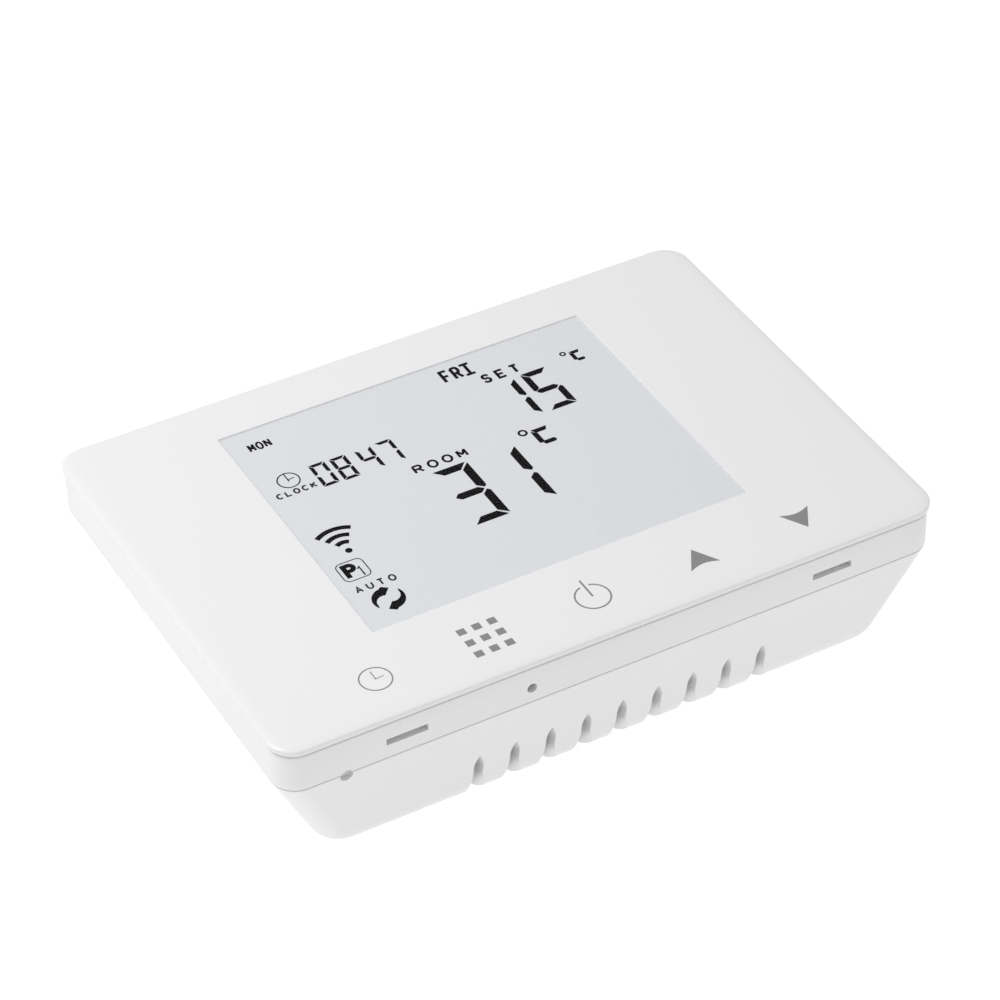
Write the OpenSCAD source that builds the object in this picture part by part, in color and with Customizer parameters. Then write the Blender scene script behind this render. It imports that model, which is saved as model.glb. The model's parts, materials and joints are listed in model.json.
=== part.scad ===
// Wall thermostat with a touch panel, lying on its back.
// +X runs to the right of the face, +Y to its top, +Z out of the face.
// The origin is the middle of the back.

/* [Panel] */
// Width of the touch panel
panel_w = 130; // [126:1:134]
// Height of the touch panel
panel_h = 91; // [90:0.5:94]
// Thickness of the touch panel
panel_t = 1.4; // [1.3:0.1:1.6]
// Corner radius of the touch panel
panel_r = 5; // [4.5:0.1:6]
// Width of the panel's softly rounded front edge
panel_edge = 3; // [2:0.1:3.2]
// How far the panel's front edge falls
panel_fall = 0.55; // [0.3:0.05:0.7]
// Width of the display window
window_w = 74.6; // [72:0.2:76]
// Height of the display window
window_h = 60.3; // [58:0.1:61]
// Height of the window's centre above the middle of the panel
window_y = 4.65; // [4.2:0.05:5]
// Spacing of the five touch keys
key_pitch = 21; // [20.5:0.1:21.2]
// Distance of the key row below the middle of the panel
key_drop = 36.2; // [35.8:0.1:36.6]

/* [Housing] */
// Depth of the whole thermostat
depth = 30.5; // [30.5:0.5:32]
// Depth from the panel's face to the seam between the housings
seam_depth = 9.5; // [9.4:0.1:9.6]
// How far the panel overhangs the housing
overhang = 0.35; // [0.3:0.05:0.6]
// Height of the shadow gap under the panel
gap_h = 0.75; // [0.5:0.05:0.9]
// Depth of the shadow gap under the panel
gap_d = 0.3; // [0.2:0.05:0.5]
// Wall thickness of both housings
wall = 2; // [1.8:0.1:2]
// Gap between the two housings at the seam
seam_gap = 0.2; // [0.15:0.05:0.3]
// Width of the flat back
back_w = 109.4; // [106:0.2:112]
// Height of the flat back
back_h = 82.8; // [82:0.2:84]
// Radius between the back and the sloping walls
back_edge = 4; // [3:0.5:4.5]

/* [Side features] */
// Distance of each release slot from the middle
slot_x = 42; // [41:0.5:43]
// Shift of the release slots to the right
slot_shift = 0.75; // [0:0.05:1]
// Length of a release slot
slot_w = 7.9; // [7.5:0.1:8.5]
// Height of a release slot
slot_h = 1.35; // [1.2:0.05:1.6]
// Depth of the release slots below the face
slot_depth = 6; // [5.8:0.1:6.2]
// Radius of the reset hole
reset_r = 0.95; // [0.9:0.05:1]
// Distance of the reset hole left of the middle
reset_x = 17.4; // [16:0.2:18]
// Number of vents
vent_count = 9; // [5:2:9]
// Spacing of the vents
vent_pitch = 7.1; // [6.9:0.1:7.4]
// Width of a vent
vent_w = 1.9; // [1.5:0.1:2.2]
// Distance of the vent row right of the middle
vent_shift = 1.6; // [0:0.1:2]

/* [Wall mounting] */
// Distance between the two wall screws
screw_spacing = 60; // [58:1:62]
// Width of a wall screw slot
screw_slot_w = 4.2; // [4:0.1:4.5]
// Length of a wall screw slot
screw_slot_l = 9; // [8:0.5:10]
// Distance of the wall screws below the middle
screw_drop = 13; // [12:0.5:14]

/* [Hidden] */
$fn = 48;
TERMINALS = 6;
tiny = 0.01;

// Heights, measured from the back
face_z = depth;
seam_z = depth - seam_depth;
panel_z = face_z - panel_t;
front_z = seam_z + seam_gap / 2;
rim_z = seam_z - seam_gap / 2;
deck_t = 1.5;
deck_z = panel_z - deck_t;
slot_z = face_z - slot_depth;
reset_z = slot_z - 0.4;

// Housing outline
body_w = panel_w - 2 * overhang;
body_h = panel_h - 2 * overhang;
body_r = panel_r - overhang;
body_bottom = -body_h / 2;
key_y = -key_drop;
key_x = [for (i = [-2:2]) i * key_pitch];
key_hole_r = 3.6;
notch_x = 52.8;
notch_r = 1.2;
notch_drop = 0.45;
notch_depth = 1.2;

// Display stack, from the front down
window_t = 0.3;
window_recess = 0.05;
pocket_depth = panel_t - window_t - window_recess;
pocket_gap = 0.2;
lcd_w = 80;
lcd_h = 66;
lcd_t = 1.1;
lcd_ledge = 2.4;
lcd_top = panel_z + pocket_depth;
film_t = 0.3;
pin_count = 31;
pin_pitch = 2.4;
pin_w = 0.4;
pin_y = window_y + lcd_h / 2 + 0.6;
pins = [for (i = [1:pin_count]) (i - (pin_count + 1) / 2) * pin_pitch];
guide_t = 3.85;
film_z = lcd_top - 2 * lcd_t - film_t;
guide_z = film_z - guide_t;
frame_wall = 1.2;
frame_w = lcd_w + 2 * frame_wall + 0.4;
frame_h = lcd_h + 2 * frame_wall + 1.8;
frame_y = window_y + 0.5;
frame_gap = 0.5;
frame_top = panel_z - 0.1;

// Control board
pcb_t = 1.6;
control_z = guide_z - 0.6 - pcb_t;
control_top = control_z + pcb_t;
control_w = 116;
control_low = -39.5;
control_high = 41;
boss_x = 54;
boss_y = 35;
boss_r = 3;
pilot_r = 1;
pilot_depth = 4;
screw_hole_r = 1.2;
shank_r = 0.95;
screw_head_r = 2.1;
screw_head_h = 1.5;

// Places of the parts behind the control board, in X and Y
mcu_at = [4, -16];
wifi_at = [-32, -24];
wifi_t = 0.9;
crystal_at = [-8, -21];
cell_at = [33, -24];
cell_r = 10;
buzzer_at = [12, -31];
ntc_at = [-50, -38];
ntc_z = 15.4;
ntc_r = 1.3;

// Reset switch
switch_y = control_low + 2.2;
switch_size = [2.6, 3.6, 2.4];
plunger_r = 0.74;
plunger_in = 1.7;
plunger_l = 3.7;

// Power board
floor_t = 2;
power_z = 5;
power_top = power_z + pcb_t;
power_w = 102;
power_low = -6;
power_high = 37;
power_screw = [[-47.5, -3], [47.5, -3], [-47.5, 34], [47.5, 34]];

// Places of the parts on the power board, in X and Y
relay_at = [[-35, 15], [-35, 28]];
transformer_at = [0, 24];
capacitor_at = [21, 17];
rectifier_at = [36, 14];
fuse_at = [22, 31];
varistor_at = [36, 28];

// Transformer core
core_w = 20;
core_d = 6;
core_h = 11;
core_z = power_top + 2;
core_yoke = 2;
core_middle = 5.8;
core_window = 5.4;

// Link between the boards
link_pitch = 2.54;
link_columns = 4;
link_x = -31;
link_y = -1;
link_pin = 0.64;
link_tip_z = 12;
link_engage = 2;
link_hole = 1.7;

// Terminals
pole = 5.08;
block_w = TERMINALS * pole + 2;
block_d = 12;
block_h = 11;
cage_w = 3.6;
cage_d = 5;
cage_h = 5.4;
cage_wall = 0.6;
cage_z = 8;
cage_y = -2.6;
cage_travel = 1.5;
cage_gap = 0.3;
bar_z = 11.6;
bar_t = 0.6;
bar_w = 2.2;
bar_foot_y = 2.7;
bar_room_y = 0.9;
terminal_screw_r = 1.25;
terminal_head_r = 1.8;
terminal_head_z = 15.9;
terminal_head_h = 1.4;
function pole_x(i) = (i - (TERMINALS + 1) / 2) * pole;

// Hooks on the front housing and the windows they enter
hook_x = 35;
hook_w = 10;
hook_z = 17.4;
hook_nose = 1;

// Release tongues
slots = [slot_shift - slot_x, slot_shift + slot_x];
tongue_w = 7;
tongue_t = 1.2;
tongue_root_z = 16.3;
tongue_play = 0.05;
tongue_side = 0.3;
tongue_back = 0.4;
tongue_top_z = slot_z + 1;
tongue_y = body_bottom + wall + 0.6;
tongue_axis_y = tongue_y + tongue_t / 2;

// Openings in the back
wire_hole_w = 38;
wire_hole_h = 13;
wire_hole_y = -screw_drop - 1.5;
post_r = 2.8;
post_pilot_z = 1.2;

// Vent notches: a sharp-rimmed disc sunk into the rounded lower edge of the back
vent_disc_r = 16.8;
vent_disc_y = -50;
vent_disc_z = -4;
vent_tip = 2.6;
vent_flare = 0.22;
vent_flare_start = 4;
vent_reach = 6.5;
vent_step = 0.65;
function vent_x(i) = vent_shift + (i - (vent_count - 1) / 2) * vent_pitch;

// Outline of the tapered rear housing at a height above the back
function taper(z) = z / rim_z;
function tub_w(z) = back_w + (body_w - back_w) * taper(z);
function tub_h(z) = back_h + (body_h - back_h) * taper(z);

module rounded_rect(w, h, r) {
    square([w - 2 * r, h], center = true);
    square([w, h - 2 * r], center = true);
    for (x = [-1, 1], y = [-1, 1])
        translate([x * (w / 2 - r), y * (h / 2 - r)]) circle(r);
}

module slab(w, h, r, t) {
    linear_extrude(t) rounded_rect(w, h, r);
}

// A block given by its middle in X and Y, its bottom in Z, and its size
module block(middle, size) {
    translate([middle[0] - size[0] / 2, middle[1] - size[1] / 2, middle[2]]) cube(size);
}

// A flat plate whose front edge is rounded: edge is the width of the rounding and fall is its height
module soft_plate(w, h, t, r, edge, fall) {
    hull() {
        slab(w, h, r, t - fall);
        for (a = [15:15:90]) let (inset = edge * (1 - cos(a)))
            slab(w - 2 * inset, h - 2 * inset, r - inset, t - fall + fall * sin(a));
    }
}

// A small slotted screw: head below, shank upwards
module small_screw(head_r, head_h, r, length) {
    slot_w = 0.6;
    difference() {
        cylinder(r = head_r, h = head_h);
        translate([-head_r, -slot_w / 2, -tiny]) cube([2 * head_r, slot_w, head_h * 0.4]);
    }
    cylinder(r = r, h = length);
}

// Wire wound into a coil: a ring of points carried round a helix
module coil(radius, wire_r, height, turns) {
    around = 6;
    steps_per_turn = 14;
    steps = steps_per_turn * turns;
    function centre(s) = [radius * cos(360 * turns * s), radius * sin(360 * turns * s), height * s];
    points = [for (k = [0:steps]) let (s = k / steps, a = 360 * turns * s)
        for (j = [0:around - 1]) let (b = 360 * j / around)
            centre(s) + wire_r * [cos(b) * cos(a), cos(b) * sin(a), sin(b)]];
    sides = [for (k = [0:steps - 1], j = [0:around - 1]) let (n = (j + 1) % around)
        [k * around + j, (k + 1) * around + j, (k + 1) * around + n, k * around + n]];
    first = [for (j = [0:around - 1]) j];
    last = [for (j = [0:around - 1]) (steps + 1) * around - 1 - j];
    polyhedron(points, concat([first], [last], sides), convexity = 4);
}

// ---- Front unit ----

module touch_panel() {
    pocket_w = lcd_w + 2 * pocket_gap;
    pocket_h = lcd_h + 1 + 2 * pocket_gap;
    color("whitesmoke") translate([0, 0, panel_z]) difference() {
        soft_plate(panel_w, panel_h, panel_t, panel_r, panel_edge, panel_fall);
        block([0, window_y, -1], [window_w, window_h, panel_t + 2]);
        block([0, frame_y, -1], [pocket_w, pocket_h, pocket_depth + 1]);
    }
}

module display_window() {
    color("gainsboro", 0.4)
        block([0, window_y, face_z - window_recess - window_t], [window_w, window_h, window_t]);
}

module hook() {
    reach = body_h / 2 - wall;
    nose_in = 0.8;
    nose_out = 0.9;
    tab_t = 1.4;
    tab_out = reach - nose_in;
    tab_in = tab_out - tab_t;
    foot_z = front_z + 2;
    translate([-hook_w / 2, tab_in, hook_z]) cube([hook_w, tab_t, deck_z - hook_z]);
    translate([-hook_w / 2, tab_in, foot_z]) cube([hook_w, reach - tab_in + tiny, deck_z - foot_z]);
    translate([-hook_w / 2, tab_out - tiny, hook_z]) cube([hook_w, nose_in + nose_out, hook_nose]);
}

module front_housing() {
    inner_w = body_w - 2 * wall;
    inner_h = body_h - 2 * wall;
    opening_w = frame_w + 2 * frame_gap;
    opening_h = frame_h + 2 * frame_gap;
    color("white") difference() {
        union() {
            difference() {
                union() {
                    translate([0, 0, front_z]) slab(body_w, body_h, body_r, panel_z - front_z - gap_h);
                    translate([0, 0, front_z])
                        slab(body_w - 2 * gap_d, body_h - 2 * gap_d, body_r - gap_d, panel_z - front_z);
                }
                translate([0, 0, front_z - 1]) slab(inner_w, inner_h, body_r - wall, deck_z - front_z + 1);
            }
            for (x = [-1, 1], y = [-1, 1]) translate([x * boss_x, y * boss_y, control_top])
                cylinder(r = boss_r, h = deck_z - control_top + tiny);
            for (x = [-1, 1]) translate([x * hook_x, 0, 0]) hook();
        }
        block([0, frame_y, deck_z - 1], [opening_w, opening_h, deck_t + 2]);
        for (x = key_x) translate([x, key_y, deck_z - 1]) cylinder(r = key_hole_r, h = deck_t + 2);
        for (x = [-1, 1], y = [-1, 1]) translate([x * boss_x, y * boss_y, control_top - 1])
            cylinder(r = pilot_r, h = pilot_depth + 1);
        for (x = slots) block([x, body_bottom + wall / 2, slot_z - slot_h / 2],
            [slot_w, wall + 2, slot_h]);
        translate([-reset_x, body_bottom + wall + 1, reset_z]) rotate([90, 0, 0])
            cylinder(r = reset_r, h = wall + 2);
        pry_notch(wall + 1);
    }
}

// The round pry notch that both housings share
module pry_notch(notch_depth) {
    translate([-notch_x, body_bottom + notch_depth, seam_z - notch_drop]) rotate([90, 0, 0])
        cylinder(r = notch_r, h = notch_depth + 2);
}

module lcd_glass() {
    color("silver", 0.8) {
        block([0, window_y - lcd_ledge / 2, lcd_top - lcd_t], [lcd_w, lcd_h - lcd_ledge, lcd_t]);
        block([0, window_y, lcd_top - 2 * lcd_t], [lcd_w, lcd_h, lcd_t]);
    }
}

module lcd_rear_film() {
    color("lightgray")
        block([0, window_y - lcd_ledge / 2, film_z], [lcd_w - 0.2, lcd_h - lcd_ledge - 1, film_t]);
}

module light_guide() {
    color("white") block([0, window_y + 1, guide_z], [lcd_w - 2, lcd_h - 7, guide_t]);
}

module backlight_leds() {
    led_y = window_y - lcd_h / 2 + 2.4;
    color("lemonchiffon") for (x = [-24, -8, 8, 24]) block([x, led_y, control_top], [3, 1.2, 1.4]);
}

module lcd_frame() {
    rail = 2;
    rail_t = 0.5;
    hole_h = frame_h - 2 * frame_wall;
    color("ghostwhite") difference() {
        block([0, frame_y, control_top], [frame_w, frame_h, frame_top - control_top]);
        block([0, frame_y, film_z], [frame_w - 2 * frame_wall, hole_h, lcd_top]);
        block([0, frame_y, control_top - 1], [lcd_w - 1, hole_h, film_z - control_top + 2]);
    }
    color("ghostwhite") for (x = [-1, 1])
        block([x * (frame_w / 2 - rail / 2), frame_y, control_top], [rail - tiny, frame_h - 1, rail_t]);
}

module lcd_pins() {
    foot_z = control_z - 0.6;
    clip_z = lcd_top - lcd_t;
    clip_t = 0.3;
    color("gold") for (x = pins) {
        block([x, pin_y, foot_z], [pin_w, pin_w, clip_z + clip_t - foot_z]);
        block([x, pin_y - 0.9, clip_z], [pin_w, 2.2, clip_t]);
    }
}

module control_pcb() {
    middle = (control_high + control_low) / 2;
    color("darkgreen") difference() {
        block([0, middle, control_z], [control_w, control_high - control_low, pcb_t]);
        for (x = [-1, 1], y = [-1, 1]) translate([x * boss_x, y * boss_y, control_z - 1])
            cylinder(r = screw_hole_r, h = pcb_t + 2);
        for (x = pins) block([x, pin_y, control_z - 1], [pin_w + 0.2, pin_w + 0.2, pcb_t + 2]);
        for (x = [-1, 1]) block([x * hook_x, control_high, control_z - 1], [hook_w + 1, 2, pcb_t + 2]);
    }
}

module control_pcb_screws() {
    color("silver") for (x = [-1, 1], y = [-1, 1])
        translate([x * boss_x, y * boss_y, control_z - screw_head_h])
            small_screw(screw_head_r, screw_head_h, shank_r, screw_head_h + pcb_t + pilot_depth - 0.5);
}

module touch_springs() {
    wire_r = 0.22;
    coil_r = 1.9;
    color("silver") for (x = key_x) translate([x, key_y, control_top + wire_r])
        coil(coil_r, wire_r, panel_z - control_top - 2 * wire_r, 4);
}

module microcontroller() {
    size = 9;
    height = 1.4;
    lead = 0.3;
    lead_pitch = 0.7;
    color("dimgray") translate([mcu_at[0], mcu_at[1], 0]) {
        block([0, 0, control_z - height], [size, size, height]);
        for (side = [0, 90, 180, 270]) rotate([0, 0, side]) for (i = [-5:5])
            block([i * lead_pitch, size / 2 + 0.5 - tiny, control_z - lead], [lead, 1, lead]);
    }
}

module wifi_board() {
    color("midnightblue") block([wifi_at[0], wifi_at[1], control_z - wifi_t], [16, 24, wifi_t]);
}

module wifi_shield() {
    shield_h = 2.2;
    color("silver") translate([wifi_at[0], wifi_at[1] - 3, control_z - wifi_t - shield_h])
        slab(14, 16, 1, shield_h);
}

module clock_crystal() {
    crystal_h = 3.4;
    rim = 0.4;
    color("silver") translate([crystal_at[0], crystal_at[1], control_z - crystal_h]) {
        translate([0, 0, rim]) slab(4.6, 11, 2.2, crystal_h - rim);
        slab(4.6 - 2 * rim, 11 - 2 * rim, 2.2 - rim, rim + tiny);
    }
}

module cell_holder() {
    holder_h = 4.6;
    cup_h = 4;
    cup_z = control_z - holder_h - 0.4;
    color("black") translate([cell_at[0], cell_at[1], 0]) difference() {
        union() {
            translate([0, 0, control_z - holder_h]) cylinder(r = cell_r + 1.4, h = holder_h);
            block([0, 0, control_z - holder_h], [26, 9, holder_h]);
        }
        translate([0, 0, cup_z]) cylinder(r = cell_r + 0.2, h = cup_h);
        block([0, -8, cup_z], [9, 9, cup_h]);
    }
}

module backup_cell() {
    cell_t = 3.2;
    color("silver") translate([cell_at[0], cell_at[1], control_z - 4.3]) {
        cylinder(r = cell_r, h = cell_t - 0.6);
        cylinder(r = cell_r - 1.4, h = cell_t);
    }
}

module buzzer() {
    buzzer_h = 5.2;
    color("black") translate([buzzer_at[0], buzzer_at[1], control_z - buzzer_h]) difference() {
        cylinder(r = 6, h = buzzer_h);
        translate([0, 0, -1]) cylinder(r = 1.1, h = 3);
    }
}

module ntc_bead() {
    color("black") translate([ntc_at[0], ntc_at[1], ntc_z]) sphere(r = ntc_r);
}

module ntc_leads() {
    color("silver") translate([ntc_at[0], ntc_at[1], ntc_z]) difference() {
        for (x = [-1, 1]) translate([x * 0.6, 0, 0]) cylinder(r = 0.25, h = control_z - ntc_z);
        sphere(r = ntc_r);
    }
}

module reset_switch() {
    color("dimgray") difference() {
        block([-reset_x, switch_y, control_top], switch_size);
        translate([-reset_x, switch_y + 0.2, reset_z]) rotate([90, 0, 0])
            cylinder(r = plunger_r + 0.06, h = switch_size[1]);
    }
}

module reset_plunger() {
    color("dimgray") translate([-reset_x, control_low + plunger_in, reset_z]) rotate([90, 0, 0])
        cylinder(r = plunger_r, h = plunger_l);
}

function link_points() = [for (i = [0:link_columns - 1], j = [0, 1])
    [link_x + (i - (link_columns - 1) / 2) * link_pitch, link_y + (j - 0.5) * link_pitch]];

module link_header() {
    header_h = 3.4;
    color("black") difference() {
        block([link_x, link_y, control_z - header_h],
            [link_columns * link_pitch, 2 * link_pitch, header_h]);
        for (p = link_points())
            block([p[0], p[1], control_z - header_h - 1], [link_pin, link_pin, header_h + 2]);
    }
}

module link_pins() {
    color("gold") for (p = link_points())
        block([p[0], p[1], link_tip_z], [link_pin, link_pin, control_z - link_tip_z]);
}

// ---- Rear unit ----

// One thin outline of the tapered housing, drawn in from its surface by an inset
module tub_ring(z, inset) {
    corner_r = body_r - inset * 0.6;
    translate([0, 0, z]) slab(tub_w(z) - 2 * inset, tub_h(z) - 2 * inset, corner_r, tiny);
}

module tub_outside() {
    hull() {
        translate([0, 0, rim_z - tiny]) slab(body_w, body_h, body_r, tiny);
        for (a = [0:15:90]) tub_ring(back_edge * (1 - sin(a)), back_edge * (1 - cos(a)), $fn = 32);
    }
}

module tub_inside() {
    draft = 2;
    floor_w = tub_w(floor_t) - 2 * wall - draft;
    floor_h = tub_h(floor_t) - 2 * wall - draft;
    hull() {
        translate([0, 0, rim_z]) slab(body_w - 2 * wall, body_h - 2 * wall, body_r - wall, 1);
        translate([0, 0, floor_t]) slab(floor_w, floor_h, 4, tiny);
    }
}

// Half the thickness of the vent disc at a depth inside its rim
function vent_half(depth) = depth < vent_tip
    ? vent_w / 2 * (1 - pow(1 - depth / vent_tip, 2))
    : vent_w / 2 + vent_flare * pow(max(0, depth - vent_flare_start), 2);

// A disc on the X axis with a pointed rim, which flares where it leaves through the rounded back edge
module vent_cutter() {
    side = [for (depth = [0:vent_step:vent_reach]) [vent_disc_r - depth, vent_half(depth)]];
    other = [for (i = [len(side) - 1:-1:1]) [side[i][0], -side[i][1]]];
    widest = vent_half(vent_reach);
    translate([0, vent_disc_y, vent_disc_z]) rotate([0, 90, 0]) rotate_extrude($fn = 96)
        polygon(concat(side, [[0, widest], [0, -widest]], other));
}

module wall_screw_slot() {
    run = screw_slot_l - screw_slot_w;
    translate([0, 0, -1]) linear_extrude(floor_t + 2) {
        square([run, screw_slot_w], center = true);
        for (x = [-1, 1]) translate([x * run / 2, 0]) circle(screw_slot_w / 2);
    }
}

// The round seat and the free space that a release tongue needs
module tongue_room(x) {
    seat_r = tongue_t / 2 + tongue_play;
    translate([x, tongue_axis_y, tongue_root_z]) rotate([0, 90, 0])
        cylinder(r = seat_r, h = tongue_w + 2 * tongue_side, center = true);
    translate([x - tongue_w / 2 - tongue_side, tongue_y - tongue_back, tongue_root_z])
        cube([tongue_w + 2 * tongue_side, tongue_back + 4, rim_z - tongue_root_z + 1]);
}

module rear_housing() {
    pedestal = [tongue_w + 1.4, 4.4, tongue_root_z - floor_t + tiny];
    hook_room = [hook_w + 1, 6, 2.9];
    color("white") difference() {
        union() {
            difference() {
                tub_outside();
                tub_inside();
            }
            for (p = power_screw) translate([p[0], p[1], floor_t - tiny])
                cylinder(r = post_r, h = power_z - floor_t + tiny);
            intersection() {
                tub_outside();
                for (x = slots) block([x, tongue_axis_y, floor_t - tiny], pedestal);
            }
        }
        for (x = slots) tongue_room(x);
        for (p = power_screw) translate([p[0], p[1], post_pilot_z]) cylinder(r = pilot_r, h = power_z);
        for (x = [-1, 1]) translate([x * screw_spacing / 2, -screw_drop, 0]) wall_screw_slot();
        block([0, wire_hole_y, -1], [wire_hole_w, wire_hole_h, floor_t + 2]);
        for (x = [-1, 1]) block([x * hook_x, body_h / 2 - 1, hook_z - 0.5], hook_room);
        for (i = [0:vent_count - 1]) translate([vent_x(i), 0, 0]) vent_cutter();
        pry_notch(notch_depth);
    }
}

module latch_tongue(x) {
    bump = 0.2;
    bump_z = slot_z - 0.6;
    color("white") {
        translate([x, tongue_axis_y, tongue_root_z]) rotate([0, 90, 0])
            cylinder(r = tongue_t / 2, h = tongue_w, center = true);
        block([x, tongue_axis_y, tongue_root_z],
            [tongue_w, tongue_t, tongue_top_z - tongue_root_z]);
        translate([x - tongue_w / 2, tongue_y, bump_z]) rotate([90, 0, 90])
            linear_extrude(tongue_w) polygon([[0, 0], [-bump, 0], [-bump, 0.5], [0, 1.4]]);
    }
}

module latch_tongue_left() {
    latch_tongue(slots[0]);
}

module latch_tongue_right() {
    latch_tongue(slots[1]);
}

module power_pcb() {
    middle = (power_high + power_low) / 2;
    slot = [bar_w + 0.2, bar_t + 0.2, 4];
    color("darkgreen") difference() {
        block([0, middle, power_z], [power_w, power_high - power_low, pcb_t]);
        for (p = power_screw) translate([p[0], p[1], power_z - 1])
            cylinder(r = screw_hole_r, h = pcb_t + 2);
        for (i = [1:TERMINALS]) block([pole_x(i), bar_foot_y, power_z - 1], slot);
    }
}

module power_pcb_screws() {
    reach = 3;
    color("silver") for (p = power_screw) translate([p[0], p[1], power_top + screw_head_h])
        mirror([0, 0, 1]) small_screw(screw_head_r, screw_head_h, shank_r, screw_head_h + pcb_t + reach);
}

module link_socket() {
    top = link_tip_z + link_engage;
    body = [link_columns * link_pitch + 1, 2 * link_pitch + 1, top - power_top];
    color("black") difference() {
        block([link_x, link_y, power_top], body);
        for (p = link_points()) block([p[0], p[1], power_top + 1], [link_hole, link_hole, top]);
    }
}

module relays() {
    color("royalblue") for (p = relay_at) translate([p[0], p[1], power_top]) slab(20, 10, 0.6, 12);
}

module transformer_core() {
    window = [core_window, core_d + 2, core_h - 2 * core_yoke];
    color("dimgray") translate([transformer_at[0], transformer_at[1], core_z]) difference() {
        block([0, 0, 0], [core_w, core_d, core_h]);
        for (x = [-1, 1]) block([x * (core_middle + core_window) / 2, 0, core_yoke], window);
    }
}

module transformer_bobbin() {
    play = 0.1;
    room_d = core_d + 2 * play;
    room_z = core_z - play;
    outer_x = core_middle / 2 + core_window + 1.1 - play;
    color("goldenrod") translate([transformer_at[0], transformer_at[1], 0]) difference() {
        union() {
            block([0, 0, power_top], [16, 16, 4]);
            for (z = [4, 9.4]) block([0, 0, power_top + z], [16, 15, 1]);
            block([0, 0, power_top + 4 - tiny], [15, 13, 6.4]);
        }
        block([0, 0, room_z], [core_w + 2 * play, room_d, core_yoke + 2 * play]);
        for (x = [-1, 1]) block([x * outer_x, 0, room_z], [2.2, room_d, core_h + 1]);
        block([0, 0, room_z], [core_middle + 2 * play, room_d, core_h + 1]);
    }
}

module smoothing_capacitor() {
    can_r = 5;
    can_h = 11.4;
    color("black") translate([capacitor_at[0], capacitor_at[1], power_top]) {
        cylinder(r = can_r, h = can_h);
        cylinder(r = can_r - 0.4, h = can_h + 0.2);
    }
}

module bridge_rectifier() {
    lead = 0.6;
    color("dimgray") translate([rectifier_at[0], rectifier_at[1], power_top]) {
        block([0, 0, lead], [8.4, 6.4, 3]);
        for (x = [-1, 1], y = [-1, 1]) block([x * 2.5, y * 3.5, 0], [lead, lead, 2.4]);
    }
}

module fuse() {
    color("sienna") translate([fuse_at[0], fuse_at[1], power_top]) cylinder(r = 4.2, h = 7.6);
}

module varistor() {
    disc_z = 6;
    color("royalblue") translate([varistor_at[0], varistor_at[1], power_top]) {
        translate([0, 0, disc_z]) rotate([90, 0, 0]) cylinder(r = 5, h = 3.6, center = true);
        for (x = [-2.5, 2.5]) translate([x, 0, 0]) cylinder(r = 0.4, h = disc_z / 2);
    }
}

module terminal_block() {
    room_w = cage_w + 2 * cage_gap;
    room_d = cage_d + 2 * cage_gap;
    room_z = cage_z - cage_gap;
    room_h = cage_h + cage_travel + 2 * cage_gap;
    entry = [3.2, 3, 3.4];
    color("seagreen") difference() {
        block([0, 0, power_top], [block_w, block_d, block_h]);
        for (i = [1:TERMINALS]) translate([pole_x(i), 0, 0]) {
            block([0, cage_y, room_z], [room_w, room_d, room_h]);
            block([0, -block_d / 2, cage_z + 0.4], entry);
            translate([0, cage_y, cage_z]) cylinder(r = terminal_screw_r + 0.2, h = block_h * 2);
            translate([0, cage_y, terminal_head_z - 0.2])
                cylinder(r = terminal_head_r + cage_gap, h = block_h * 2);
            block([0, bar_room_y, power_top - 1], [bar_w + 0.1, 4.3, bar_z + bar_t + 1.05 - power_top]);
        }
    }
}

module terminal_bars() {
    bar_top = bar_z + bar_t;
    foot_z = power_z - 0.6;
    color("silver") for (i = [1:TERMINALS]) translate([pole_x(i), 0, 0]) {
        block([0, -1, bar_z], [bar_w, 8, bar_t]);
        block([0, bar_foot_y, foot_z], [bar_w, bar_t, bar_top - foot_z]);
    }
}

module terminal_screw(i) {
    tip_z = bar_z + bar_t + 0.2;
    groove = 0.8;
    color("silver") translate([pole_x(i), cage_y, 0]) {
        translate([0, 0, tip_z]) cylinder(r = terminal_screw_r, h = terminal_head_z - tip_z + tiny);
        translate([0, 0, terminal_head_z]) difference() {
            cylinder(r = terminal_head_r, h = terminal_head_h);
            block([0, 0, terminal_head_h - groove], [2 * terminal_head_r + 1, 0.6, 2]);
        }
    }
}

module terminal_cage(i) {
    mouth = [bar_w + 2 * cage_gap, cage_d + 2, cage_h - 2 * cage_wall];
    color("gold") translate([pole_x(i), cage_y, cage_z]) difference() {
        block([0, 0, 0], [cage_w, cage_d, cage_h]);
        block([0, 0, cage_wall], mouth);
        cylinder(r = terminal_screw_r + 0.08, h = cage_h + 1);
    }
}

touch_panel();
display_window();
front_housing();
lcd_glass();
lcd_rear_film();
light_guide();
backlight_leds();
lcd_frame();
lcd_pins();
control_pcb();
control_pcb_screws();
touch_springs();
microcontroller();
wifi_board();
wifi_shield();
clock_crystal();
cell_holder();
backup_cell();
buzzer();
ntc_bead();
ntc_leads();
reset_switch();
reset_plunger();
link_header();
link_pins();
rear_housing();
latch_tongue_left();
latch_tongue_right();
power_pcb();
power_pcb_screws();
link_socket();
relays();
transformer_core();
transformer_bobbin();
smoothing_capacitor();
bridge_rectifier();
fuse();
varistor();
terminal_block();
terminal_bars();
for (i = [1:TERMINALS]) {
    terminal_screw(i);
    terminal_cage(i);
}
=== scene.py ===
"""A wall thermostat with a touch panel, lying on its back: its shells, display, printing and materials."""
import json
import math

import bmesh
import bpy
from mathutils import Matrix, Vector


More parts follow.
